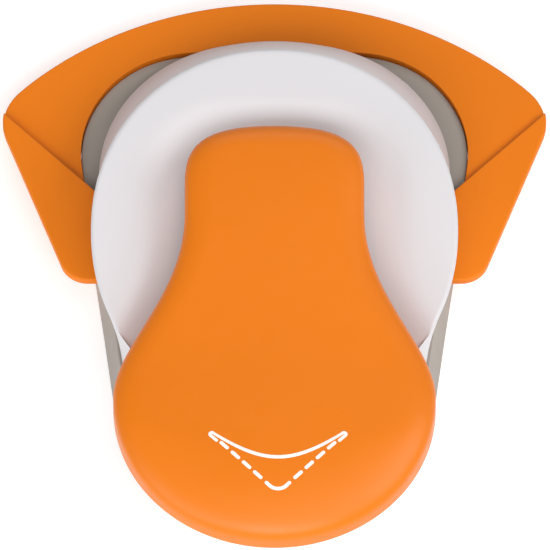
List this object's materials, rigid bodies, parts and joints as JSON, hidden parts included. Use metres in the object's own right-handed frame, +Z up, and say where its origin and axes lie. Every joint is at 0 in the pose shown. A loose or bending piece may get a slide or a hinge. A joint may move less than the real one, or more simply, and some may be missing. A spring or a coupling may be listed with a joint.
{
  "type": "craft punch",
  "caption": "Lever-operated corner-rounding paper punch: wide palm lever on a round sloping head, drafted base, fan-shaped paper guide with raised fences.",
  "frame": {"origin": "middle of the tool's overall box, on the surface the feet stand on", "axes": "+Y from the palm pad towards the paper side, +Z up, +X to the right seen from the palm pad"},
  "size_m": [0.1452, 0.1818, 0.0502],
  "materials": {
    "orange_plastic": "satin moulded, soft sheen",
    "white_plastic": "satin moulded",
    "grey_plastic": "fine moulded texture",
    "dark_plastic": "matt moulded",
    "rubber_feet": "matt",
    "tool_steel": "ground, hardened",
    "plate_steel": "rolled sheet",
    "spring_steel": "drawn wire",
    "screw_steel": "bright plated"
  },
  "bodies": {
    "body": {"base_housing": "grey_plastic", "bottom_plate": "dark_plastic", "foot_pad_1": "rubber_feet", "foot_pad_2": "rubber_feet", "foot_pad_3": "rubber_feet", "foot_pad_4": "rubber_feet", "paper_guide": "orange_plastic", "die_plate": "tool_steel", "stripper_plate": "plate_steel", "frame_spacer_1": "plate_steel", "frame_spacer_2": "plate_steel", "pivot_frame": "plate_steel", "upper_housing": "white_plastic", "pivot_pin": "plate_steel", "pivot_clip_1": "tool_steel", "pivot_clip_2": "tool_steel", "guide_post_1": "plate_steel", "guide_post_2": "plate_steel", "return_spring_1": "spring_steel", "return_spring_2": "spring_steel", "frame_screw_1": "screw_steel", "frame_screw_2": "screw_steel", "frame_screw_3": "screw_steel", "frame_screw_4": "screw_steel", "housing_screw_1": "screw_steel", "housing_screw_2": "screw_steel", "housing_screw_3": "screw_steel", "housing_screw_4": "screw_steel", "die_screw_1": "screw_steel", "die_screw_2": "screw_steel", "die_screw_3": "screw_steel", "die_screw_4": "screw_steel"},
    "lever": {"lever_cover": "orange_plastic", "lever_core": "dark_plastic", "lever_screw_1": "screw_steel", "lever_screw_2": "screw_steel", "roller_pin": "plate_steel"},
    "roller": {"nose_roller": "tool_steel"},
    "punch": {"punch_carrier": "dark_plastic", "punch_blade": "tool_steel", "blade_screw_1": "screw_steel", "blade_screw_2": "screw_steel"}
  },
  "joints": [
    {"name": "lever_press", "type": "hinge", "parent": "body", "child": "lever", "pos_m": [0, 0.02, 0.0415], "axis": [1, 0, 0], "range_deg": [0, 8], "stiffness_Nm_per_rad": 2.2, "springref_deg": -5.73},
    {"name": "roller_spin", "type": "hinge", "parent": "lever", "child": "roller", "pos_m": [0, -0.0075, 0.0375], "axis": [1, 0, 0], "continuous": true},
    {"name": "punch_slide", "type": "slide", "parent": "body", "child": "punch", "axis": [0, 0, -1], "range_m": [0, 0.0039], "deforming": ["return_spring_1", "return_spring_2"]}
  ],
  "couplings": [
    {"joint": "punch_slide", "follows": "lever_press", "m_per_rad": 0.0271}
  ]
}
